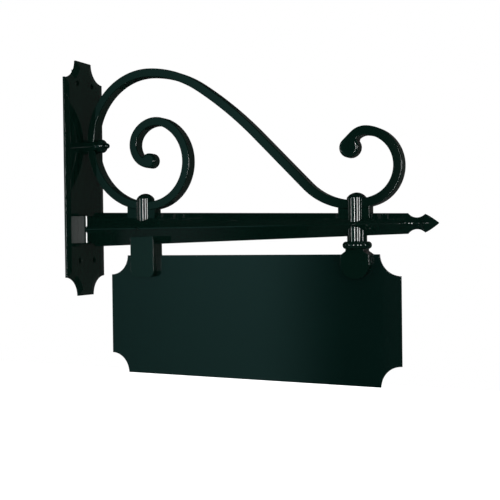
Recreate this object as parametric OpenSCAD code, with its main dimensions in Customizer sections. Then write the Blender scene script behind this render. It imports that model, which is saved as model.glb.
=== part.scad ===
// Projecting sign. A tapered square bar stands out from a wall plate on edge and ends in a spear.
// A flat bar above it makes two curls, and a panel with scooped corners is held below it.
// X runs from the wall along the arm, Y across it, Z up. The wall is the plane X = 0,
// and the arm's axis is Y = 0, Z = 0.

/* [Wall plate] */
// Width of the wall plate
plate_w = 108.5; // [100:0.5:140]
// Height of its top edge above the arm's axis
plate_top = 291; // [250:1:340]
// Depth of its bottom edge below the arm's axis
plate_bottom = 114; // [100:1:160]
// Thickness of its raised field
plate_t = 6; // [5:0.5:10]
// Radius of its scooped corners
plate_scoop_r = 32.5; // [20:0.5:36]
// Width of its sloping margin
margin_w = 10.5; // [5:0.5:13]
// Fall of that margin
margin_fall = 2.5; // [1:0.25:4]
// Radius of the four fixing holes
fixing_r = 4.5; // [3:0.25:5]
// Distance between the two holes of a pair
fixing_pitch = 42; // [36:1:48]
// Distance from the top edge to the upper pair
upper_fixing_inset = 39; // [30:1:60]
// Distance from the bottom edge to the lower pair
lower_fixing_inset = 61; // [40:1:70]

/* [Arm] */
// Side of the square flange block
flange_side = 50; // [46:1:60]
// Thickness of the flange block
flange_t = 18; // [12:1:24]
// Chamfer round the flange's front
flange_chamfer = 1.5; // [0.5:0.25:3]
// Length of the arm from the flange to the spear
arm_len = 555; // [520:5:620]
// Height over the arm's edges at the flange
arm_root_h = 58.5; // [52:0.5:64]
// Height over the arm's edges at the spear
arm_tip_h = 30.4; // [28:0.2:36]
// How much of each sharp edge is taken off
edge_cut = 0.7; // [0.3:0.1:1.2]
// Radius of the bolt that holds arm, flange and plate
arm_bolt_r = 6; // [5:0.5:8]
// Radius of its countersunk head
arm_bolt_head_r = 10; // [9:0.5:11]
// Depth of that head
arm_bolt_head_t = 4; // [3:0.25:4.5]
// How far that bolt goes into the arm
arm_bolt_reach = 46; // [30:1:60]

/* [Spear] */
// Length of the spear from the arm's end to its point
spear_len = 45.7; // [40:0.5:60]
// Distance from the arm's end to the middle of the waist
waist_x = 13.5; // [12:0.25:15]
// Height over the edges at the waist
waist_h = 17.2; // [15:0.2:20]
// Radius of the scoop that makes the waist
waist_scoop_r = 17; // [16:0.25:20]
// Distance from the arm's end to the widest place of the blade
barb_x = 25.5; // [23:0.25:27]
// Height over the edges left at the point
point_h = 1.2; // [0.8:0.2:3]
// Fullness of the blade, 1 for straight sides
blade_swell = 1.2; // [1:0.05:1.6]
// Radius of the spigot in the arm's end
spigot_r = 6; // [4:0.5:7]
// Length of that spigot
spigot_len = 30; // [20:1:40]
// Radius of the pin through the spigot
spear_pin_r = 2; // [1.5:0.25:2.5]
// Distance of that pin from the arm's end
spear_pin_inset = 5; // [4.5:0.5:12]

/* [Scroll] */
// Width of the scroll bar, seen from the side
bar_w = 14; // [11:0.5:15]
// Depth of the scroll bar, across the arm
bar_d = 20; // [16:0.5:22]
// Rounding of the bar's edges
bar_round = 1.5; // [1:0.25:3]
// Radius of the big loop beside the wall
loop_r = 111; // [108:0.5:114]
// Turn of the big loop, from the seat on the arm
loop_turn = 183.6; // [180:0.2:186]
// Radius of the shoulder after the loop
shoulder_r = 193.8; // [180:0.5:210]
// Turn of that shoulder
shoulder_turn = 29.9; // [28:0.1:32]
// Radius of the slow bend before the straight run
slow_r = 664; // [600:1:720]
// Slope of the straight run
run_slope = 45; // [43:0.5:47]
// Radius where the scroll sits on the arm's free end
foot_r = 105.4; // [95:0.2:115]
// Turn after that seat
foot_turn = 19; // [17:0.5:21]
// Radius of the outer curl
curl_r = 53.6; // [48:0.2:58]
// Turn of the outer curl
curl_turn = 155.2; // [145:0.2:165]
// Radius of the last bend before the outer eye
curl_end_r = 25.1; // [22:0.2:28]
// Turn of that bend
curl_end_turn = 46; // [40:1:52]
// Turn past the lowest point before the inner curl tightens
inner_lead_turn = 7.6; // [6:0.2:10]
// First radius of the inner curl
inner_r = 71.4; // [69:0.2:74]
// Turn of that first bend
inner_turn = 144.8; // [142:0.2:148]
// Second radius of the inner curl
inner_mid_r = 45; // [42:0.5:47]
// Turn of that second bend
inner_mid_turn = 79; // [75:1:84]
// Last radius of the inner curl
inner_end_r = 33; // [30:0.5:35]
// Turn of that last bend
inner_end_turn = 122.4; // [116:0.2:128]
// Straight length that runs beside the outer eye
outer_eye_run = 18.4; // [17:0.2:24]
// Radius of the inner eye
inner_eye_r = 12.5; // [10:0.5:14]
// Radius of the outer eye
outer_eye_r = 15.5; // [12:0.5:16.5]
// Rounding of the eyes' rims
eye_round = 4; // [2:0.25:5]
// Greatest distance between the curve and its flats
flat_gap = 0.12; // [0.08:0.01:0.2]

/* [Seats on the arm] */
// Distance from the wall to the big loop's outer edge
loop_stand = 16.6; // [14:0.2:20]
// Distance from the inner clamp to the scroll's lowest point
left_low_shift = 7.2; // [4:0.2:9]
// Distance from the outer clamp to the scroll's lowest point
right_low_shift = 4.1; // [0:0.1:6]
// Thickness of the inner pad over the arm's ridge
left_pad_t = 4.2; // [2.5:0.1:8]
// Thickness of the outer pad over the arm's ridge
right_pad_t = 6.1; // [3:0.1:10]
// Length of the inner pad on the wall side of the clamp
left_pad_near = 30; // [24:0.2:40]
// Length of the inner pad on the free side of the clamp
left_pad_far = 23.5; // [18:0.1:34]
// Length of the outer pad on the wall side of the clamp
right_pad_near = 26.5; // [22:0.1:34]
// Length of the outer pad on the free side of the clamp
right_pad_far = 22.5; // [18:0.1:30]
// Radius of the round clamps
clamp_r = 15; // [14:0.25:16.5]
// Rise of the inner clamp's domed top
left_dome_rise = 9; // [8:0.2:13]
// Rise of the outer clamp's domed top
right_dome_rise = 8; // [7:0.2:12]
// Height of the inner dome's foot over the bar's lowest top
left_dome_lift = 5; // [2:0.1:6]
// Height of the outer dome's foot over the bar's lowest top
right_dome_lift = 2.9; // [0.8:0.1:4]
// Radius of the upright studs
stud_r = 5; // [4:0.25:6]
// Distance of the studs' lower ends from the panel's top edge
stud_stop = 2.5; // [1.5:0.25:4]
// How far the studs go into the domes
stud_in_dome = 5; // [3:0.25:7]
// Radius of the cross pins
cross_pin_r = 1.9; // [1.5:0.1:2.2]
// Radius of the pins' domed heads
pin_head_r = 2.7; // [2.5:0.1:3.2]
// Rise of the pins' domed heads
pin_head_h = 1.8; // [1:0.1:2.4]

/* [Post on the wall] */
// Distance of the wall post below the loop's outermost point
wall_post_drop = 5.5; // [0:0.5:10]
// Radius of the wall post
wall_post_r = 13; // [12.5:0.25:15]
// How far its fork passes the scroll
fork_past = 5; // [3:0.25:7]
// Radius of the knob on the fork
knob_r = 11.5; // [10:0.25:12.5]
// Length of the knob
knob_len = 11.5; // [9:0.25:14]
// Rounding of the knob's nose
knob_round = 6; // [3:0.25:8]
// Radius of the stud through post and knob
wall_stud_r = 4; // [3:0.25:4.5]
// Radius of the stud's ball end
ball_r = 4.8; // [4.6:0.1:6]
// How far the ball's end stands off the knob
ball_reach = 8.5; // [6:0.25:10]

/* [Panel] */
// Length of the panel
panel_len = 510; // [470:5:560]
// Height of the panel
panel_h = 198.8; // [160:0.2:240]
// Thickness of the panel
panel_t = 3; // [2:0.25:4]
// Distance from the wall to the panel
panel_x = 58.3; // [40:0.5:65]
// Depth of the panel's top edge below the arm's axis
panel_drop = 44.9; // [42:0.1:55]
// Radius of the panel's scooped corners
panel_scoop_r = 32.5; // [20:0.5:40]
// Chamfer round the panel
panel_chamfer = 0.5; // [0.2:0.1:0.8]

/* [Hangers] */
// Thickness of both hangers' jaws
jaw_t = 28; // [20:0.5:30]
// Width of the inner hanger
left_jaw_w = 45; // [40:0.5:56]
// How far the jaws reach below the panel's top edge
jaw_reach = 36.5; // [30:0.5:44]
// Rounding of the inner hanger's lower corners
jaw_corner_r = 10; // [5:0.5:14]
// Depth of the post's end below the arm's axis
right_post_drop = 25.5; // [22:0.5:28]
// Radius of the thick ring
collar_r = 22; // [19:0.5:25]
// Thickness of that ring
collar_t = 11.3; // [8:0.1:14]
// Rounding of the ring's edges
collar_round = 5.4; // [3:0.1:5.6]
// Half width of the outer hanger's neck
neck_half_w = 14; // [12:0.5:16]
// Height of that neck
neck_h = 3; // [1:0.25:5]
// Depth over which the neck widens to the round jaw
shoulder_h = 6; // [3:0.25:8]
// Radius of the outer hanger's round jaw
right_jaw_r = 22.5; // [20:0.5:26]
// Radius of the screws through jaw and panel
screw_r = 2.5; // [2:0.25:3.5]
// Radius of their heads
screw_head_r = 4.5; // [4:0.25:6]
// Thickness of their heads
screw_head_t = 3; // [2:0.25:4]
// Distance between the inner hanger's two screws
screw_pitch = 24; // [18:1:28]
// Depth of the screws below the panel's top edge
screw_drop = 20; // [14:0.5:24]

/* [Clearances] */
// Radial clearance round studs, pins and bolts
bore_gap = 0.2; // [0.1:0.05:0.4]
// Clearance on each side of a bar or panel in its slot
slot_gap = 0.2; // [0.1:0.05:0.4]

/* [Hidden] */
$fn = 96;
// How far a cutting shape runs past what it cuts
over = 1;

paint = [0.03, 0.10, 0.085];
panel_paint = [0.05, 0.14, 0.12];

// Places along the arm
arm_x = plate_t + flange_t;
arm_end_x = arm_x + arm_len;

// Half the height over the arm's edges, and out to where its four faces would meet
function arm_half(x) = arm_root_h / 2 + (x - arm_x) / arm_len * (arm_tip_h - arm_root_h) / 2;
function arm_sharp(x) = arm_half(x) + edge_cut;

// A place on the scroll's middle line is [x, z, heading, distance], turns to the left are positive
function bend(s, r, turn) =
    let (g = sign(turn), h = s[2] + turn)
    [s[0] - g * r * (sin(s[2]) - sin(h)), s[1] + g * r * (cos(s[2]) - cos(h)), h,
     s[3] + r * abs(turn) * PI / 180];
function ahead(s, d) = [s[0] + d * cos(s[2]), s[1] + d * sin(s[2]), s[2], s[3] + d];
function turned_back(s) = [s[0], s[1], s[2] + 180, -s[3]];
function flats(r, turn, widest) = ceil(abs(turn) / min(widest, 2 * acos(1 - flat_gap / r)));
function bend_places(s, r, turn, widest = 9) =
    let (n = flats(r, turn, widest)) [for (i = [1 : n]) bend(s, r, turn * i / n)];
function route(s, bends, i = 0) =
    i == len(bends) ? [] :
    let (places = bend_places(s, bends[i][0], bends[i][1], i == len(bends) - 1 ? 5 : 9))
    concat(places, route(places[len(places) - 1], bends, i + 1));
function last(list) = list[len(list) - 1];
function reversed(list) = [for (i = [len(list) - 1 : -1 : 0]) list[i]];

// The scroll starts at its lowest point by the wall and runs both ways from there
left_low_x = loop_stand + bar_w / 2 + loop_r;
left_clamp_x = left_low_x - left_low_shift;
left_low = [left_low_x, arm_half(left_clamp_x) + left_pad_t + bar_w / 2, 180, 0];
loop_centre = [left_low[0], left_low[1] + loop_r];
inner_way = route(turned_back(left_low),
                  [[loop_r, inner_lead_turn], [inner_r, inner_turn],
                   [inner_mid_r, inner_mid_turn], [inner_end_r, inner_end_turn]]);
slow_turn = 180 - loop_turn - shoulder_turn + run_slope;
upper_way = route(left_low, [[loop_r, -loop_turn], [shoulder_r, -shoulder_turn], [slow_r, -slow_turn]]);
run_start = last(upper_way);

// The straight run is as long as it takes to reach the pad on the arm's free end
arm_fall = (arm_root_h - arm_tip_h) / 2 / arm_len;
foot_low_x = run_start[0] + foot_r * sin(run_slope);
run_len = (run_start[1] - foot_r * (1 - cos(run_slope)) - arm_half(foot_low_x + right_low_shift)
           - right_pad_t - bar_w / 2) / (sin(run_slope) - arm_fall * cos(run_slope));
run_end = ahead(run_start, run_len);
right_low = bend(run_end, foot_r, run_slope);
foot_centre = [right_low[0], right_low[1] + foot_r];
right_clamp_x = right_low[0] + right_low_shift;
outer_way = route(run_end, [[foot_r, run_slope + foot_turn], [curl_r, curl_turn],
                            [curl_end_r, curl_end_turn]]);
// The outer end runs on straight beside its eye, with places closest where the eye begins
eye_angles = [15, 30, 45, 60, 72, 82];
outer_end_places = [for (a = concat(reversed(eye_angles), [0]))
                    ahead(last(outer_way), outer_eye_run - outer_eye_r * sin(a))];
middle_line = concat(reversed([for (s = inner_way) turned_back(s)]), [left_low], upper_way,
                     [run_end], outer_way, outer_end_places);

// Each eye is a round disc whose edge runs on from the outer edge of the bar's end
inner_eye = eye(middle_line[0], -1, inner_eye_r);
outer_eye = eye(last(middle_line), 1, outer_eye_r);
function eye(s, side, r) =
    let (d = side * (r - bar_w / 2)) [s[0] - d * sin(s[2]), s[1] + d * cos(s[2]), r];
function eye_ahead(s, e) = (e[0] - s[0]) * cos(s[2]) + (e[1] - s[1]) * sin(s[2]);
function eye_aside(s, e) = (e[1] - s[1]) * cos(s[2]) - (e[0] - s[0]) * sin(s[2]);

// One section has twelve points, three round each corner: reach to the right and to the left of the
// middle line and half the depth, each at the corner's three angles
corner_angles = [0, 45, 90];
function section(s, right, left, half_d) =
    let (place = function (u, y) [s[0] - u * sin(s[2]), y, s[1] + u * cos(s[2])])
    concat([for (j = [0 : 2]) place(-right[j], half_d[j])],
           [for (j = [2 : -1 : 0]) place(-right[j], -half_d[j])],
           [for (j = [0 : 2]) place(left[j], -half_d[j])],
           [for (j = [2 : -1 : 0]) place(left[j], half_d[j])]);
function rounded_reach(half, c) = [for (a = corner_angles) half - c * (1 - sin(a))];
function rounded_depth(half, c) = [for (a = corner_angles) half - c * (1 - cos(a))];
function eye_reach(e, t, a) = sqrt(max(pow(e[2] - eye_round * (1 - sin(a)), 2) - t * t, 0));

// A section of the bar, which swells on one side where it runs beside an eye
function bar_section(s) =
    let (e = s[3] < 0 ? inner_eye : outer_eye,
         t = eye_ahead(s, e),
         u = eye_aside(s, e),
         beside = abs(t) < e[2] && abs(u) < 2 * e[2],
         c = beside ? bar_round + (eye_round - bar_round) * (1 - abs(t) / e[2]) : bar_round,
         plain = rounded_reach(bar_w / 2, c),
         swollen = [for (j = [0 : 2]) max(plain[j], abs(u) + eye_reach(e, t, corner_angles[j]))])
    section(s, beside && u < 0 ? swollen : plain, beside && u > 0 ? swollen : plain,
            rounded_depth(bar_d / 2, c));

// A section of the eye alone, past the middle of the disc
function eye_section(s, e, past) =
    let (t = e[2] * sin(past),
         rim = e[2] - eye_round,
         from = t > rim ? asin((t - rim) / eye_round) : 0,
         angles = [for (a = corner_angles) from + (90 - from) * a / 90],
         reach = [for (a = angles) max(eye_reach(e, t, a), bar_round / 4)],
         u = eye_aside(s, e),
         beyond = ahead(s, s[3] < 0 ? -t : t))
    section(beyond, [for (r = reach) r - u], [for (r = reach) r + u],
            [for (a = angles) bar_d / 2 - eye_round * (1 - cos(a))]);

// A closed skin over sections that all have the same number of points
module skin(sections) {
    n = len(sections[0]);
    top = (len(sections) - 1) * n;
    sides = [for (i = [0 : len(sections) - 2], j = [0 : n - 1])
             let (a = i * n + j, b = i * n + (j + 1) % n)
             each [[a, b, b + n], [a, b + n, a + n]]];
    ends = [[for (j = [n - 1 : -1 : 0]) j], [for (j = [0 : n - 1]) top + j]];
    polyhedron([for (s = sections) each s], concat(sides, ends), convexity = 12);
}

// A square on its corner at x, with its four edges taken off
function edge_on(x, half) =
    let (f = min(edge_cut, half / 3), h = half)
    [[x, -f, h], [x, f, h], [x, h, f], [x, h, -f], [x, f, -h], [x, -f, -h], [x, -h, -f], [x, -h, f]];

module rod_x(x1, x2, r) translate([x1, 0, 0]) rotate([0, 90, 0]) cylinder(r = r, h = x2 - x1);
module rod_y(y1, y2, r) translate([0, y1, 0]) rotate([-90, 0, 0]) cylinder(r = r, h = y2 - y1);
module rod_z(z1, z2, r) translate([0, 0, z1]) cylinder(r = r, h = z2 - z1);

// A spherical cap of the given foot radius and rise, standing on z = 0
module dome(r, rise) {
    ball = (r * r + rise * rise) / (2 * rise);
    intersection() {
        translate([0, 0, rise - ball]) sphere(r = ball);
        cylinder(r = r, h = rise + over);
    }
}

// A disc along z with both rims rounded
module round_rimmed(r, t, c) {
    rotate_extrude() {
        square([r - c, t]);
        translate([0, c]) square([r, t - 2 * c]);
        translate([r - c, c]) circle(r = c);
        translate([r - c, t - c]) circle(r = c);
    }
}

// What a sloping margin takes off along an edge: reach inward, fall outward
module margin_profile(run, fall) {
    slope = fall / run;
    polygon([[-over, -fall - over * slope], [run + over, over * slope], [-over, over * slope]]);
}

// An upright sheet from (0, 0) to (w, h), scooped at its corners, sloped round its upper face
module scooped_sheet(w, h, t, r, run, fall, both = false) {
    corners = [[0, 0], [w, 0], [0, h], [w, h]];
    difference() {
        cube([w, h, t]);
        for (c = corners) translate([c[0], c[1], -over]) cylinder(r = r, h = t + 2 * over);
        sloped_rim(w, h, t, r, run, fall);
        if (both) translate([0, 0, t]) mirror([0, 0, 1]) sloped_rim(w, h, t, r, run, fall);
    }
}

// What the slope takes off along the four edges and round the four scoops
module sloped_rim(w, h, t, r, run, fall) {
    translate([0, h + over, t]) rotate([90, 0, 0])
        linear_extrude(h + 2 * over) margin_profile(run, fall);
    translate([w, -over, t]) rotate([90, 0, 180])
        linear_extrude(h + 2 * over) margin_profile(run, fall);
    translate([-over, 0, t]) rotate([90, 0, 90])
        linear_extrude(w + 2 * over) margin_profile(run, fall);
    translate([w + over, h, t]) rotate([90, 0, -90])
        linear_extrude(w + 2 * over) margin_profile(run, fall);
    for (c = [[0, 0], [w, 0], [0, h], [w, h]])
        translate([c[0], c[1], t]) rotate_extrude() translate([r, 0]) margin_profile(run, fall);
}

// The space inside the arm's four faces, as if its edges were sharp
module arm_space() {
    skin([for (x = [arm_x, arm_end_x])
          let (h = arm_sharp(x)) [[x, 0, h], [x, h, 0], [x, 0, -h], [x, -h, 0]]]);
}

// A round bar across the arm, centred on a point of the scroll's plane
module round_in_plane(centre, r) translate([centre[0], 0, centre[1]]) rod_y(-jaw_t, jaw_t, r);

wall_post_z = loop_centre[1] - wall_post_drop;
fork_x = loop_centre[0] - loop_r + bar_w / 2 + fork_past;
knob_x = fork_x + knob_len;
spear_pin_x = arm_end_x - spear_pin_inset;
screw_z = -(panel_drop + screw_drop);
stud_end_z = -(panel_drop - stud_stop);
collar_z = -right_post_drop - collar_t;
jaw_z = -(panel_drop + jaw_reach);
left_screw_xs = [left_clamp_x - screw_pitch / 2, left_clamp_x + screw_pitch / 2];
left_dome_z = left_low[1] + bar_w / 2 + left_dome_lift;
right_dome_z = right_low[1] + bar_w / 2 + right_dome_lift;
// The clamps and the post under the arm stop short of the cross pins' heads
clamp_foot_z = pin_head_r + over;

// Where a pin's head sits: the crease is cut back to a flat as high as the head
function pin_seat_y(x) = arm_sharp(x) - pin_head_r - bore_gap;

// What is cut out of the arm for a pin across it, with a flat seat at each crease
module pin_way(x, r) {
    y = pin_seat_y(x);
    translate([x, 0, 0]) {
        rod_y(-y - over, y + over, r + bore_gap);
        for (side = [-1, 1]) scale([1, side, 1]) rod_y(y, y + pin_head_r + over, pin_head_r + bore_gap);
    }
}

// A pin across the arm with a domed head at each end
module crease_pin(x, r) {
    y = pin_seat_y(x);
    translate([x, 0, 0]) {
        rod_y(-y - over / 2, y + over / 2, r);
        for (side = [-90, 90]) rotate([side, 0, 0]) translate([0, 0, y]) dome(pin_head_r, pin_head_h);
    }
}

// The room that a clamp leaves for the pad and the bar, its roof following the bar's top
module bar_way(x, half_d, centre, roof_r) {
    width = 2 * (half_d + slot_gap);
    difference() {
        translate([x - 2 * clamp_r, -width / 2, 0]) cube([4 * clamp_r, width, centre[1]]);
        round_in_plane(centre, roof_r);
    }
}

module clamp(x, dome_z, rise, half_d, centre, roof_r) {
    difference() {
        translate([x, 0, 0]) {
            rod_z(clamp_foot_z, dome_z, clamp_r);
            translate([0, 0, dome_z]) dome(clamp_r, rise);
        }
        bar_way(x, half_d, centre, roof_r);
        arm_space();
        translate([x, 0, 0]) rod_z(0, dome_z + stud_in_dome, stud_r + bore_gap);
    }
}

// A pad on the arm's ridge, hollowed on top to the radius of the bar's underside
module pad(x, near, far, half_d, centre, under_r) {
    difference() {
        translate([x - near, -half_d, 0]) cube([near + far, 2 * half_d, centre[1]]);
        round_in_plane(centre, under_r);
        arm_space();
        translate([x, 0, 0]) rod_z(0, centre[1], stud_r + bore_gap);
    }
}

module tie_stud(x, top) {
    difference() {
        translate([x, 0, 0]) rod_z(stud_end_z, top, stud_r);
        translate([x, 0, 0]) rod_y(-clamp_r, clamp_r, cross_pin_r + bore_gap);
    }
}

// What both hangers leave for the arm, the stud and the panel
module hanger_ways(x) {
    arm_space();
    translate([x, 0, 0]) rod_z(stud_end_z - bore_gap, 0, stud_r + bore_gap);
    slot = panel_t + 2 * slot_gap;
    translate([x - left_jaw_w, -slot / 2, jaw_z - over])
        cube([2 * left_jaw_w, slot, -panel_drop + slot_gap - jaw_z + over]);
}

module screw_way(x) {
    translate([x, 0, screw_z]) {
        rod_y(-jaw_t / 2 + screw_head_t - bore_gap, jaw_t, screw_r + bore_gap);
        rod_y(jaw_t / 2 - screw_head_t - bore_gap, jaw_t, screw_head_r + bore_gap);
    }
}

module jaw_screw(x) {
    color(paint) translate([x, 0, screw_z]) {
        rod_y(-jaw_t / 2 + screw_head_t, jaw_t / 2 - screw_head_t, screw_r);
        rod_y(jaw_t / 2 - screw_head_t, jaw_t / 2, screw_head_r);
    }
}

module wall_plate() {
    h = plate_top + plate_bottom;
    color(paint) difference() {
        translate([0, -plate_w / 2, -plate_bottom]) rotate([90, 0, 90])
            scooped_sheet(plate_w, h, plate_t, plate_scoop_r, margin_w, margin_fall);
        for (z = [plate_top - upper_fixing_inset, lower_fixing_inset - plate_bottom], side = [-1, 1])
            translate([0, side * fixing_pitch / 2, z]) rod_x(-over, plate_t + over, fixing_r);
        rod_x(-over, plate_t + over, arm_bolt_r + bore_gap);
        bolt_head(bore_gap);
        translate([0, 0, wall_post_z]) rod_x(-over, plate_t + over, wall_stud_r + bore_gap);
    }
}

// The countersunk head behind the plate
module bolt_head(grow) {
    rotate([0, 90, 0])
        cylinder(r1 = arm_bolt_head_r + grow, r2 = arm_bolt_r + grow, h = arm_bolt_head_t);
}

module arm_flange() {
    color(paint) difference() {
        translate([plate_t, -flange_side / 2, -flange_side / 2]) rotate([90, 0, 90])
            scooped_sheet(flange_side, flange_side, flange_t,
                          flange_chamfer, flange_chamfer, flange_chamfer);
        rod_x(0, arm_x + over, arm_bolt_r + bore_gap);
    }
}

module arm_bolt() {
    color(paint) {
        bolt_head(0);
        rod_x(0, arm_x + arm_bolt_reach, arm_bolt_r);
    }
}

module arm_bar() {
    color(paint) difference() {
        skin([for (x = [arm_x, arm_end_x]) edge_on(x, arm_half(x))]);
        rod_x(0, arm_x + arm_bolt_reach + over, arm_bolt_r + bore_gap);
        rod_x(arm_end_x - spigot_len - over, arm_end_x + over, spigot_r + bore_gap);
        for (x = [left_clamp_x, right_clamp_x]) {
            translate([x, 0, 0]) rod_z(-arm_root_h, arm_root_h, stud_r + bore_gap);
            pin_way(x, cross_pin_r);
        }
        pin_way(spear_pin_x, spear_pin_r);
    }
}

function waist_half(d) = waist_h / 2 + waist_scoop_r - sqrt(pow(waist_scoop_r, 2) - pow(d - waist_x, 2));
function blade_half(u) = point_h / 2 + (waist_half(barb_x) - point_h / 2) * (1 - pow(u, blade_swell));

module spear_finial() {
    waist = [for (i = [0 : 14]) let (d = barb_x * i / 14) edge_on(arm_end_x + d, waist_half(d))];
    blade = [for (i = [1 : 8]) let (d = barb_x + (spear_len - barb_x) * i / 8)
             edge_on(arm_end_x + d, blade_half(i / 8))];
    color(paint) difference() {
        union() {
            skin(concat(waist, blade));
            rod_x(arm_end_x - spigot_len, arm_end_x + over, spigot_r);
        }
        translate([spear_pin_x, 0, 0]) rod_y(-clamp_r, clamp_r, spear_pin_r + bore_gap);
    }
}

module finial_pin() color(paint) crease_pin(spear_pin_x, spear_pin_r);

module scroll() {
    inner_end = reversed([for (a = eye_angles) eye_section(middle_line[0], inner_eye, a)]);
    outer_end = [for (a = eye_angles) eye_section(last(middle_line), outer_eye, a)];
    color(paint) difference() {
        skin(concat(inner_end, [for (s = middle_line) bar_section(s)], outer_end));
        translate([left_clamp_x, 0, 0]) rod_z(0, left_dome_z, stud_r + bore_gap);
        translate([right_clamp_x, 0, 0]) rod_z(0, right_dome_z, stud_r + bore_gap);
        translate([0, 0, wall_post_z]) rod_x(0, knob_x, wall_stud_r + bore_gap);
    }
}

module wall_post() {
    width = bar_d + 2 * slot_gap;
    color(paint) difference() {
        translate([0, 0, wall_post_z]) rod_x(plate_t, fork_x, wall_post_r);
        intersection() {
            translate([plate_t, -width / 2, wall_post_z - 2 * wall_post_r])
                cube([fork_x, width, 4 * wall_post_r]);
            round_in_plane(loop_centre, loop_r + bar_w / 2 + slot_gap);
        }
        translate([0, 0, wall_post_z]) rod_x(0, fork_x, wall_stud_r + bore_gap);
    }
}

module wall_knob() {
    color(paint) translate([fork_x, 0, wall_post_z]) rotate([0, 90, 0]) difference() {
        rotate_extrude() intersection() {
            union() {
                square([knob_r - knob_round, knob_len]);
                square([knob_r, knob_len - knob_round]);
                translate([knob_r - knob_round, knob_len - knob_round]) circle(r = knob_round);
            }
            square([knob_r, knob_len]);
        }
        rod_z(-over, knob_len + over, wall_stud_r + bore_gap);
    }
}

module wall_stud() {
    color(paint) translate([0, 0, wall_post_z]) {
        rod_x(margin_fall / 2, knob_x + ball_reach - ball_r, wall_stud_r);
        translate([knob_x + ball_reach - ball_r, 0, 0]) sphere(r = ball_r);
    }
}

module left_saddle() color(paint)
    pad(left_clamp_x, left_pad_near, left_pad_far, bar_d / 2, loop_centre, loop_r + bar_w / 2);
module right_saddle() color(paint)
    pad(right_clamp_x, right_pad_near, right_pad_far, bar_d / 2, foot_centre, foot_r + bar_w / 2);

module left_clamp() color(paint)
    clamp(left_clamp_x, left_dome_z, left_dome_rise, bar_d / 2, loop_centre, loop_r - bar_w / 2 - slot_gap);
module right_clamp() color(paint)
    clamp(right_clamp_x, right_dome_z, right_dome_rise, bar_d / 2,
          foot_centre, foot_r - bar_w / 2 - slot_gap);

module left_tie_stud() color(paint) tie_stud(left_clamp_x, left_dome_z + stud_in_dome - bore_gap);
module right_tie_stud() color(paint) tie_stud(right_clamp_x, right_dome_z + stud_in_dome - bore_gap);

module left_cross_pin() color(paint) crease_pin(left_clamp_x, cross_pin_r);
module right_cross_pin() color(paint) crease_pin(right_clamp_x, cross_pin_r);

module left_hanger() {
    half = left_jaw_w / 2;
    color(paint) difference() {
        translate([left_clamp_x, jaw_t / 2, 0]) rotate([90, 0, 0]) linear_extrude(jaw_t) {
            translate([-half, jaw_z + jaw_corner_r]) square([left_jaw_w, -jaw_z - jaw_corner_r]);
            translate([jaw_corner_r - half, jaw_z]) square([left_jaw_w - 2 * jaw_corner_r, -jaw_z]);
            for (side = [-1, 1])
                translate([side * (half - jaw_corner_r), jaw_z + jaw_corner_r]) circle(r = jaw_corner_r);
        }
        hanger_ways(left_clamp_x);
        for (x = left_screw_xs) screw_way(x);
    }
}

module right_post() {
    color(paint) difference() {
        translate([right_clamp_x, 0, 0]) rod_z(-right_post_drop, -clamp_foot_z, clamp_r);
        arm_space();
        translate([right_clamp_x, 0, 0]) rod_z(-right_post_drop - over, 0, stud_r + bore_gap);
    }
}

module right_collar() {
    color(paint) translate([right_clamp_x, 0, collar_z]) difference() {
        round_rimmed(collar_r, collar_t, collar_round);
        rod_z(-over, collar_t + over, stud_r + bore_gap);
    }
}

module right_hanger() {
    centre_z = jaw_z + right_jaw_r;
    shoulders = [[neck_half_w, collar_z], [neck_half_w, collar_z - neck_h],
                 [right_jaw_r, collar_z - neck_h - shoulder_h]];
    round_end = [for (a = [0 : -5 : -180]) [right_jaw_r * cos(a), centre_z + right_jaw_r * sin(a)]];
    color(paint) difference() {
        translate([right_clamp_x, jaw_t / 2, 0]) rotate([90, 0, 0]) linear_extrude(jaw_t)
            polygon(concat(shoulders, round_end, reversed([for (q = shoulders) [-q[0], q[1]]])));
        hanger_ways(right_clamp_x);
        screw_way(right_clamp_x);
    }
}

module left_screw_a() jaw_screw(left_screw_xs[0]);
module left_screw_b() jaw_screw(left_screw_xs[1]);
module right_screw() jaw_screw(right_clamp_x);

module sign_panel() {
    color(panel_paint) difference() {
        translate([panel_x, panel_t / 2, -panel_drop - panel_h]) rotate([90, 0, 0])
            scooped_sheet(panel_len, panel_h, panel_t, panel_scoop_r, panel_chamfer, panel_chamfer, true);
        for (x = concat(left_screw_xs, [right_clamp_x]))
            translate([x, 0, screw_z]) rod_y(-jaw_t, jaw_t, screw_r + bore_gap);
    }
}

wall_plate();
arm_flange();
arm_bolt();
arm_bar();
spear_finial();
finial_pin();
scroll();
wall_post();
wall_knob();
wall_stud();
left_saddle();
right_saddle();
left_clamp();
right_clamp();
left_tie_stud();
right_tie_stud();
left_cross_pin();
right_cross_pin();
left_hanger();
right_post();
right_collar();
right_hanger();
left_screw_a();
left_screw_b();
right_screw();
sign_panel();
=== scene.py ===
import math

import bpy
from mathutils import Matrix, Vector


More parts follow.
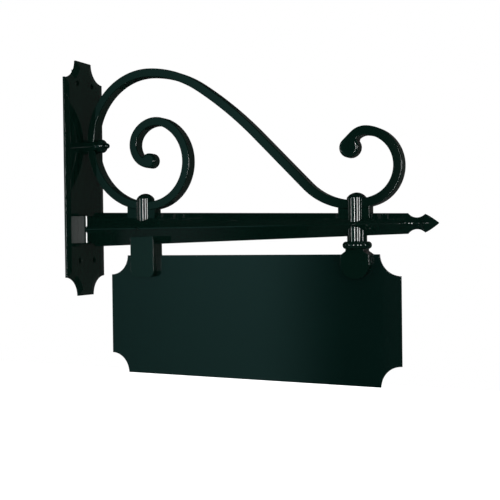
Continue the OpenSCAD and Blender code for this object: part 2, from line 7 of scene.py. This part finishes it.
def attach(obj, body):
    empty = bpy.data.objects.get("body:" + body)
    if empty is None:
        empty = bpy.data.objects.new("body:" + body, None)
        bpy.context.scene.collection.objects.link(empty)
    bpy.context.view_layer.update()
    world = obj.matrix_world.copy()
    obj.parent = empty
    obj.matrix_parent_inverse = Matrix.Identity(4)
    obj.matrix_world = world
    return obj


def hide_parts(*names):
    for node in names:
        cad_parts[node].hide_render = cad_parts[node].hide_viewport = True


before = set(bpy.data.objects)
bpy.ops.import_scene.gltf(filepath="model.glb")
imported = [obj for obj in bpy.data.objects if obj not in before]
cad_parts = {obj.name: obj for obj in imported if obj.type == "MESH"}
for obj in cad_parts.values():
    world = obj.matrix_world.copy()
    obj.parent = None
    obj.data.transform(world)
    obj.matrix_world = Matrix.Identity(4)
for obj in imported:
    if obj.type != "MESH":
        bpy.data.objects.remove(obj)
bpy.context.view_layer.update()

# Sizes are in metres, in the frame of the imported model

# Camera, fitted to the photograph
CAMERA_PLACE = Vector((0.9362, -1.2785, -0.0224))
CAMERA_TURN = math.radians(25.68)
CAMERA_DIP = math.radians(0.60)
CAMERA_ROLL = math.radians(-0.68)
CAMERA_LENS_MM = 64.2
SENSOR_MM = 36.0
CLIP_NEAR = 0.05
CLIP_FAR = 50

# Scroll: the bar, its eyes, the radii and turns in degrees of its arcs, with (radius, turn) for
# each arc of the curls, its distance from the wall, the shifts of its two low places and the pads
# under it
BAR_W = 0.014
BAR_D = 0.020
BAR_ROUND = 0.0015
EYE_ROUND = 0.004
INNER_EYE_R = 0.0125
OUTER_EYE_R = 0.0155
OUTER_EYE_RUN = 0.0184
LOOP_R = 0.111
LOOP_TURN = 183.6
SHOULDER_R = 0.1938
SHOULDER_TURN = 29.9
SLOW_R = 0.664
RUN_SLOPE = 45.0
FOOT_R = 0.1054
FOOT_TURN = 19.0
CURL_BENDS = ((0.0536, 155.2), (0.0251, 46.0))
INNER_BENDS = ((LOOP_R, 7.6), (0.0714, 144.8), (0.045, 79.0), (0.033, 122.4))
LOOP_STAND = 0.0166
LEFT_LOW_SHIFT = 0.0072
RIGHT_LOW_SHIFT = 0.0041
LEFT_PAD_T = 0.0042
RIGHT_PAD_T = 0.0061

# Arm
ARM_X = 0.024
ARM_LEN = 0.555
ARM_ROOT_H = 0.0585
ARM_TIP_H = 0.0304

# Mesh of the scroll: greatest distance from the true curve, steps round each edge, the angles in
# degrees of the rings on the near and the far half of an eye, the least reach of a ring, and the
# angle from which an edge is shaded sharp
CURVE_GAP = 0.00001
EDGE_STEPS = 6
NEAR_ANGLES = list(range(88, -1, -4))
FAR_ANGLES = list(range(4, 85, 4)) + [86, 88, 89]
LEAST_REACH = 0.0002
SHARP_ANGLE = 35


def camera_axes():
    """The camera's right, up and forward directions."""
    a, e, r = CAMERA_TURN, CAMERA_DIP, CAMERA_ROLL
    forward = Vector((-math.sin(a) * math.cos(e), math.cos(a) * math.cos(e), -math.sin(e)))
    level = Vector((math.cos(a), math.sin(a), 0))
    upright = level.cross(forward)
    right = math.cos(r) * level + math.sin(r) * upright
    up = -math.sin(r) * level + math.cos(r) * upright
    return right, up, forward


def make_camera():
    right, up, forward = camera_axes()
    data = bpy.data.cameras.new("camera")
    data.sensor_fit = "HORIZONTAL"
    data.sensor_width = SENSOR_MM
    data.lens = CAMERA_LENS_MM
    data.clip_start = CLIP_NEAR
    data.clip_end = CLIP_FAR
    camera = bpy.data.objects.new("camera", data)
    turn = Matrix((right, up, -forward)).transposed().to_4x4()
    camera.matrix_world = Matrix.Translation(CAMERA_PLACE) @ turn
    bpy.context.scene.collection.objects.link(camera)
    bpy.context.scene.camera = camera


# The scroll's middle line: a place is (x, z, heading in degrees, distance along the bar)

def bend(place, radius, turn):
    """The place after an arc, which turns to the left where turn is positive."""
    x, z, heading, along = place
    side = math.copysign(1, turn)
    a, b = math.radians(heading), math.radians(heading + turn)
    return (x - side * radius * (math.sin(a) - math.sin(b)),
            z + side * radius * (math.cos(a) - math.cos(b)),
            heading + turn,
            along + radius * abs(b - a))


def ahead(place, distance):
    x, z, heading, along = place
    a = math.radians(heading)
    return (x + distance * math.cos(a), z + distance * math.sin(a), heading, along + distance)


def turned_back(place):
    x, z, heading, along = place
    return (x, z, heading + 180, -along)


def bend_places(place, radius, turn):
    """The places along one arc, close enough for the mesh."""
    widest = 2 * math.degrees(math.acos(1 - CURVE_GAP / radius))
    steps = math.ceil(abs(turn) / widest)
    return [bend(place, radius, turn * i / steps) for i in range(1, steps + 1)]


def route(place, bends):
    """The places along arcs that follow one another."""
    places = []
    for radius, turn in bends:
        places += bend_places(place, radius, turn)
        place = places[-1]
    return places


def arm_half(x):
    """Half the arm's height over its edges, at a distance from the wall."""
    return ARM_ROOT_H / 2 + (x - ARM_X) / ARM_LEN * (ARM_TIP_H - ARM_ROOT_H) / 2


def eye_of(place, side, radius, half_width):
    """The centre of the eye whose edge runs on from the outer edge of the bar."""
    a = math.radians(place[2])
    aside = side * (radius - half_width)
    return (place[0] - aside * math.sin(a), place[1] + aside * math.cos(a), radius)


def scroll_line():
    """The middle line's places and the two eyes."""
    low_x = LOOP_STAND + BAR_W / 2 + LOOP_R
    low = (low_x, arm_half(low_x - LEFT_LOW_SHIFT) + LEFT_PAD_T + BAR_W / 2, 180.0, 0.0)
    inner = route(turned_back(low), INNER_BENDS)
    slow_turn = 180 - LOOP_TURN - SHOULDER_TURN + RUN_SLOPE
    over_loop = bend_places(low, LOOP_R, -LOOP_TURN)
    upper = over_loop + route(over_loop[-1], ((SHOULDER_R, -SHOULDER_TURN), (SLOW_R, -slow_turn)))
    start = upper[-1]
    slope = math.radians(RUN_SLOPE)
    fall = (ARM_ROOT_H - ARM_TIP_H) / 2 / ARM_LEN
    foot_x = start[0] + FOOT_R * math.sin(slope) + RIGHT_LOW_SHIFT
    drop = start[1] - FOOT_R * (1 - math.cos(slope)) - arm_half(foot_x) - RIGHT_PAD_T - BAR_W / 2
    run_end = ahead(start, drop / (math.sin(slope) - fall * math.cos(slope)))
    outer = route(run_end, ((FOOT_R, RUN_SLOPE + FOOT_TURN),) + CURL_BENDS)
    end_steps = [ahead(outer[-1], OUTER_EYE_RUN - OUTER_EYE_R * math.sin(math.radians(a)))
                 for a in NEAR_ANGLES]
    line = [turned_back(p) for p in reversed(inner)] + [low] + upper + [run_end] + outer + end_steps
    inner_eye = eye_of(line[0], -1, INNER_EYE_R, BAR_W / 2)
    outer_eye = eye_of(line[-1], 1, OUTER_EYE_R, BAR_W / 2)
    return line, inner_eye, outer_eye


def eye_seen_from(place, eye):
    """How far the eye's centre lies ahead of a place and to its left."""
    a = math.radians(place[2])
    dx, dz = eye[0] - place[0], eye[1] - place[1]
    return dx * math.cos(a) + dz * math.sin(a), dz * math.cos(a) - dx * math.sin(a)


def section(place, right, left, depth):
    """A closed ring of points: the reach right and left and half the depth at each edge angle."""
    a = math.radians(place[2])

    def point(u, y):
        return (place[0] - u * math.sin(a), y, place[1] + u * math.cos(a))

    steps = range(EDGE_STEPS + 1)
    back = list(reversed(steps))
    ring = [point(-right[j], depth[j]) for j in steps]
    ring += [point(-right[j], -depth[j]) for j in back]
    ring += [point(left[j], -depth[j]) for j in steps]
    ring += [point(left[j], depth[j]) for j in back]
    return ring


def edge_angles(first=0.0):
    """Angles round a rounded edge, from the first one in degrees to a right angle."""
    return [math.radians(first + (90 - first) * j / EDGE_STEPS) for j in range(EDGE_STEPS + 1)]


def eye_reach(radius, ahead_by, angle):
    """Half an eye's width at a distance from its middle and at an angle round its rounded edge."""
    rim = radius - EYE_ROUND * (1 - math.sin(angle))
    return math.sqrt(max(rim * rim - ahead_by * ahead_by, 0))


def bar_ring(place, eye):
    """A ring of the bar, widened where the eye lies beside it."""
    half_w = BAR_W / 2
    half_d = BAR_D / 2
    t, u = eye_seen_from(place, eye)
    beside = abs(t) < eye[2] and abs(u) < 2 * eye[2]
    corner = BAR_ROUND
    if beside:
        corner += (EYE_ROUND - BAR_ROUND) * (1 - abs(t) / eye[2])
    angles = edge_angles()
    plain = [half_w - corner * (1 - math.sin(a)) for a in angles]
    depth = [half_d - corner * (1 - math.cos(a)) for a in angles]
    swollen = plain
    if beside:
        swollen = [max(p, abs(u) + eye_reach(eye[2], t, a)) for p, a in zip(plain, angles)]
    if u < 0:
        return section(place, swollen, plain, depth)
    return section(place, plain, swollen, depth)


def eye_ring(place, eye, past):
    """A ring of the eye alone, past its middle."""
    t = eye[2] * math.sin(math.radians(past))
    rim = eye[2] - EYE_ROUND
    first = math.degrees(math.asin((t - rim) / EYE_ROUND)) if t > rim else 0.0
    angles = edge_angles(first)
    reach = [max(eye_reach(eye[2], t, a), LEAST_REACH) for a in angles]
    depth = [BAR_D / 2 - EYE_ROUND * (1 - math.cos(a)) for a in angles]
    aside = eye_seen_from(place, eye)[1]
    beyond = ahead(place, -t if place[3] < 0 else t)
    return section(beyond, [r - aside for r in reach], [r + aside for r in reach], depth)


def skin_mesh(name, rings):
    """A closed mesh over rings that have the same number of points."""
    n = len(rings[0])
    faces = []
    for i in range(len(rings) - 1):
        for j in range(n):
            k = (j + 1) % n
            faces.append((i * n + j, (i + 1) * n + j, (i + 1) * n + k, i * n + k))
    last = (len(rings) - 1) * n
    faces.append(tuple(range(n)))
    faces.append(tuple(last + j for j in reversed(range(n))))
    mesh = bpy.data.meshes.new(name)
    mesh.from_pydata([p for ring in rings for p in ring], [], faces)
    mesh.validate()
    mesh.update()
    return mesh


def make_scroll(material):
    line, inner_eye, outer_eye = scroll_line()
    rings = [eye_ring(line[0], inner_eye, a) for a in reversed(FAR_ANGLES)]
    rings += [bar_ring(p, inner_eye if p[3] < 0 else outer_eye) for p in line]
    rings += [eye_ring(line[-1], outer_eye, a) for a in FAR_ANGLES]
    add_piece("scroll_bar", skin_mesh("scroll_bar", rings), material, "scroll")


def add_piece(name, mesh, material, node):
    """A smooth-shaded piece that takes a CAD node's place."""
    piece = bpy.data.objects.new(name, mesh)
    bpy.context.scene.collection.objects.link(piece)
    mesh.materials.append(material)
    mesh.shade_smooth()
    mesh.set_sharp_from_angle(angle=math.radians(SHARP_ANGLE))
    flats = piece.modifiers.new("flat_faces", "WEIGHTED_NORMAL")
    flats.keep_sharp = True
    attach(piece, "root")
    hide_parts(node)


# Materials

# The paint's noises, the depth of its orange peel, the range of its roughness and its gloss
DRIFT_NOISE = {"Scale": 9.0, "Detail": 3.0}
SHEEN_NOISE = {"Scale": 60.0, "Detail": 4.0}
PEEL_NOISE = {"Scale": 420.0, "Detail": 2.0, "Roughness": 0.4}
PEEL_DEPTH = 0.0004
SHEEN_LEAST = 0.8
SHEEN_MOST = 1.25
EDGE_SAMPLES = 4
GLOSS = {"IOR": 1.5, "Coat Roughness": 0.04, "Coat IOR": 1.5}


def node_tree(material):
    material.use_nodes = True
    tree = material.node_tree
    tree.nodes.clear()
    return tree


def add(tree, kind, **settings):
    """A new node with its settings and input values."""
    node = tree.nodes.new(kind)
    inputs = settings.pop("inputs", {})
    for key, value in settings.items():
        setattr(node, key, value)
    for key, value in inputs.items():
        node.inputs[key].default_value = value
    return node


def make_paint(name, dark, light, roughness, peel, edge_r=0.0, coat=1.0):
    """Gloss paint: colour drift, orange peel, uneven sheen and, with edge_r, softened edges."""
    material = bpy.data.materials.new(name)
    tree = node_tree(material)
    link = tree.links.new
    where = add(tree, "ShaderNodeTexCoord")

    def noise(settings):
        node = add(tree, "ShaderNodeTexNoise", inputs=settings)
        link(where.outputs["Object"], node.inputs["Vector"])
        return node.outputs["Fac"]

    colours = add(tree, "ShaderNodeMix", data_type="RGBA")
    colours.inputs["A"].default_value = dark + (1,)
    colours.inputs["B"].default_value = light + (1,)
    link(noise(DRIFT_NOISE), colours.inputs["Factor"])
    sheen = add(tree, "ShaderNodeMapRange",
                inputs={"To Min": roughness * SHEEN_LEAST, "To Max": roughness * SHEEN_MOST})
    link(noise(SHEEN_NOISE), sheen.inputs["Value"])
    bump = add(tree, "ShaderNodeBump", inputs={"Strength": peel, "Distance": PEEL_DEPTH})
    link(noise(PEEL_NOISE), bump.inputs["Height"])
    if edge_r:
        edges = add(tree, "ShaderNodeBevel", samples=EDGE_SAMPLES, inputs={"Radius": edge_r})
        link(edges.outputs["Normal"], bump.inputs["Normal"])
    shader = add(tree, "ShaderNodeBsdfPrincipled", inputs={"Coat Weight": coat, **GLOSS})
    link(colours.outputs["Result"], shader.inputs["Base Color"])
    link(sheen.outputs["Result"], shader.inputs["Roughness"])
    link(bump.outputs["Normal"], shader.inputs["Normal"])
    link(bump.outputs["Normal"], shader.inputs["Coat Normal"])
    output = add(tree, "ShaderNodeOutputMaterial")
    link(shader.outputs["BSDF"], output.inputs["Surface"])
    return material


def background_rays(tree):
    """1 for the rays that see the background: camera, glossy and transmission rays."""
    path = add(tree, "ShaderNodeLightPath")
    first = add(tree, "ShaderNodeMath", operation="MAXIMUM")
    second = add(tree, "ShaderNodeMath", operation="MAXIMUM")
    tree.links.new(path.outputs["Is Camera Ray"], first.inputs[0])
    tree.links.new(path.outputs["Is Glossy Ray"], first.inputs[1])
    tree.links.new(first.outputs[0], second.inputs[0])
    tree.links.new(path.outputs["Is Transmission Ray"], second.inputs[1])
    return second.outputs[0]


def make_world():
    """A white background, and plain grey light from all sides."""
    world = bpy.data.worlds.new("studio")
    world.use_nodes = True
    tree = world.node_tree
    tree.nodes.clear()
    level = add(tree, "ShaderNodeMapRange", inputs={"To Min": WORLD_LEVEL, "To Max": 1.0})
    tree.links.new(background_rays(tree), level.inputs["Value"])
    background = add(tree, "ShaderNodeBackground", inputs={"Color": (1, 1, 1, 1)})
    tree.links.new(level.outputs["Result"], background.inputs["Strength"])
    output = add(tree, "ShaderNodeOutputWorld")
    tree.links.new(background.outputs["Background"], output.inputs["Surface"])
    bpy.context.scene.world = world


def area_light(name, place, target, width, height, watts):
    """A lit rectangle that faces its target."""
    data = bpy.data.lights.new(name, "AREA")
    data.shape = "RECTANGLE"
    data.size = width
    data.size_y = height
    data.energy = watts
    lamp = bpy.data.objects.new(name, data)
    lamp.location = place
    lamp.rotation_euler = (Vector(target) - Vector(place)).to_track_quat("-Z", "Y").to_euler()
    bpy.context.scene.collection.objects.link(lamp)


def stage_sheet(name, place, target, width, height, material):
    """A flat sheet of the studio, facing its target."""
    mesh = bpy.data.meshes.new(name)
    w, h = width / 2, height / 2
    mesh.from_pydata([(-w, -h, 0), (w, -h, 0), (w, h, 0), (-w, h, 0)], [], [(0, 1, 2, 3)])
    sheet = bpy.data.objects.new(name, mesh)
    sheet.location = place
    sheet.rotation_euler = (Vector(target) - Vector(place)).to_track_quat("Z", "Y").to_euler()
    mesh.materials.append(material)
    bpy.context.scene.collection.objects.link(sheet)
    return sheet


def plain_material(name, colour, roughness, seen_white=0.0):
    """A plain surface, which can look whiter to the rays that see the background."""
    material = bpy.data.materials.new(name)
    tree = node_tree(material)
    shader = add(tree, "ShaderNodeBsdfPrincipled",
                 inputs={"Base Color": colour + (1,), "Roughness": roughness})
    output = add(tree, "ShaderNodeOutputMaterial")
    tree.links.new(shader.outputs["BSDF"], output.inputs["Surface"])
    if seen_white:
        level = add(tree, "ShaderNodeMapRange", inputs={"To Min": 0.0, "To Max": seen_white})
        tree.links.new(background_rays(tree), level.inputs["Value"])
        shader.inputs["Emission Color"].default_value = (1, 1, 1, 1)
        tree.links.new(level.outputs["Result"], shader.inputs["Emission Strength"])
    return material


def glow_material(name, colour, levels, heights):
    """A dim glow, whose level changes along the sheet's own X and Y by pairs of place and level."""
    material = bpy.data.materials.new(name)
    tree = node_tree(material)
    where = add(tree, "ShaderNodeTexCoord")
    axes = add(tree, "ShaderNodeSeparateXYZ")
    first, last = levels[0][0], levels[-1][0]
    along = add(tree, "ShaderNodeMapRange", inputs={"From Min": first, "From Max": last})
    ramp = add(tree, "ShaderNodeValToRGB")
    ramp.color_ramp.interpolation = "EASE"
    stops = ramp.color_ramp.elements
    while len(stops) < len(levels):
        stops.new(0.5)
    for stop, (place, level) in zip(stops, levels):
        stop.position = (place - first) / (last - first)
        stop.color = (level, level, level, 1)
    (low, low_level), (high, high_level) = heights
    upward = add(tree, "ShaderNodeMapRange",
                 inputs={"From Min": low, "From Max": high,
                         "To Min": low_level, "To Max": high_level})
    level = add(tree, "ShaderNodeMath", operation="MULTIPLY")
    glow = add(tree, "ShaderNodeEmission", inputs={"Color": colour + (1,)})
    output = add(tree, "ShaderNodeOutputMaterial")
    tree.links.new(where.outputs["Object"], axes.inputs["Vector"])
    tree.links.new(axes.outputs["X"], along.inputs["Value"])
    tree.links.new(along.outputs["Result"], ramp.inputs["Fac"])
    tree.links.new(axes.outputs["Y"], upward.inputs["Value"])
    tree.links.new(ramp.outputs["Color"], level.inputs[0])
    tree.links.new(upward.outputs["Result"], level.inputs[1])
    tree.links.new(level.outputs[0], glow.inputs["Strength"])
    tree.links.new(glow.outputs["Emission"], output.inputs["Surface"])
    return material


def gloss_card(name, place, target, width, height, material):
    """A sheet of the studio that only shows as a reflection in gloss."""
    sheet = stage_sheet(name, place, target, width, height, material)
    for kind in ("camera", "diffuse", "transmission", "volume_scatter", "shadow"):
        setattr(sheet, "visible_" + kind, False)


def around(angle, distance, z):
    """A place at an angle round the sign's middle, seen from above."""
    a = math.radians(angle)
    return (MIDDLE[0] + distance * math.cos(a), MIDDLE[1] + distance * math.sin(a), z)


def make_studio():
    make_world()
    floor = plain_material("floor_white", FLOOR_COLOUR, FLOOR_ROUGHNESS, FLOOR_SEEN_WHITE)
    stage_sheet("floor", (MIDDLE[0], MIDDLE[1], FLOOR_Z), MIDDLE, FLOOR_SIZE, FLOOR_SIZE, floor)
    card = plain_material("dark_card", CARD_COLOUR, CARD_ROUGHNESS)
    for name, place in CARDS.items():
        gloss_card(name, place, MIDDLE, CARD_SIZE, CARD_SIZE, card)
    for name, (place, target, width, height, colour, levels, heights) in GLOWS.items():
        glow = glow_material(name, colour, levels, heights)
        gloss_card(name, place, target, width, height, glow)
    for name, (place, width, height, watts) in WINDOWS.items():
        area_light(name, place, (MIDDLE[0], MIDDLE[1], place[2]), width, height, watts)


# Studio: the sign's middle, the level of the grey light, the white floor and the dark cards round
# the sign, which show in its gloss
MIDDLE = (0.3, 0.0, 0.0)
WORLD_LEVEL = 0.55
FLOOR_Z = -1.6
FLOOR_SIZE = 16
FLOOR_COLOUR = (0.9, 0.9, 0.9)
FLOOR_ROUGHNESS = 0.8
FLOOR_SEEN_WHITE = 0.85
CARD_SIZE = 12
CARD_COLOUR = (0.01, 0.012, 0.012)
CARD_ROUGHNESS = 0.9
CARDS = {"front_card": (0.3, -4.9, 0.0),
         "back_card": (0.3, 4.9, 0.0),
         "left_card": (-4.4, 0.0, 0.0),
         "right_card": (5.0, 0.0, 0.0),
         "upper_card": (0.3, 0.0, 4.0),
         "lower_card": (0.3, 0.0, -1.4)}
# Dim glows, seen in the gloss as sky, yard and ground: place, target, width, height, colour, and
# the glow's levels at places along its width and its height
EVEN = ((-1.0, 1.0), (1.0, 1.0))
GLOWS = {"sky_glow": (around(-121, 3.9, 0.1), MIDDLE, 2.4, 2.8, (0.084, 0.177, 0.176),
                      ((-1.0, 0.0), (-0.4, 1.0), (0.7, 0.55)), ((-0.85, 0.86), (-0.2, 1.12))),
         "yard_glow": ((0.75, 1.85, 0.3), (0.0, 0.0, 0.3), 2.1, 3.3, (0.040, 0.039, 0.038),
                       ((-1.05, 1.0), (1.05, 1.0)), EVEN),
         "ground_glow": ((-0.36, 0.0, -1.2), (-0.36, 0.0, 0.0), 0.68, 1.2, (0.040, 0.048, 0.052),
                         ((-0.22, 0.0), (0.12, 1.0), (0.28, 0.9), (0.34, 0.0)), EVEN)}
# Windows, which streak the round posts and light the flange's side: place, width, height and power
WINDOWS = {"window_edge": (around(-138, 3.2, 0.2), 0.20, 0.9, 4.2),
           "window_left": (around(-96.5, 4.8, 0.3), 0.28, 1.2, 23),
           "window_flange": ((2.62, -3.571, 0.064), 0.14, 0.24, 0.5),
           "window_middle": (around(-64.5, 4.6, 0.3), 0.52, 1.3, 23),
           "window_right": (around(-40.5, 3.2, 0.2), 0.20, 0.9, 9),
           "window_side": (around(-3, 3.2, 0.2), 0.2, 0.9, 8)}

# The paint drifts between a dark and a light colour, and the panel has its own two
PAINT_DARK = (0.0013, 0.0083, 0.0056)
PAINT_LIGHT = (0.0019, 0.0112, 0.0078)
PANEL_DARK = (0.0015, 0.0083, 0.0066)
PANEL_LIGHT = (0.0021, 0.0106, 0.0086)

# Painted shade: a sheet of the paint close behind the plate, so that its fixing holes show dark and
# no white shows through them
PATCH_PLACE = (-0.001, 0.0, 0.1)
PATCH_TARGET = (1.0, 0.0, 0.1)
PATCH_WIDTH = 0.056
PATCH_HEIGHT = 0.35


def dress():
    """Paint every node, and lay the smoother scroll in the place of its solid."""
    paint = make_paint("green_gloss_paint", PAINT_DARK, PAINT_LIGHT,
                       roughness=0.06, peel=0.02, edge_r=0.0009)
    bar_paint = make_paint("green_bar_paint", PAINT_DARK, PAINT_LIGHT,
                           roughness=0.07, peel=0.02, coat=0.5)
    panel = make_paint("green_panel_paint", PANEL_DARK, PANEL_LIGHT,
                       roughness=0.06, peel=0.01, edge_r=0.0004)
    # Painted shade: this copy of the paint has no gloss coat, so that the left saddle, in the shade
    # under the left clamp, shows darker
    saddle_shade_paint = make_paint("green_shade_paint", PAINT_DARK, PAINT_LIGHT,
                      roughness=0.06, peel=0.02, coat=0.0)
    own = {"sign_panel": panel, "spear_finial": bar_paint, "left_saddle": saddle_shade_paint}
    for name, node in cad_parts.items():
        node.data.materials.clear()
        node.data.materials.append(own.get(name, paint))
    make_scroll(bar_paint)
    # Painted shade behind the plate's fixing holes
    stage_sheet("hole_shade_patch", PATCH_PLACE, PATCH_TARGET, PATCH_WIDTH, PATCH_HEIGHT, paint)


make_camera()
make_studio()
dress()
bpy.context.scene.view_settings.view_transform = "Standard"
bpy.context.view_layer.update()
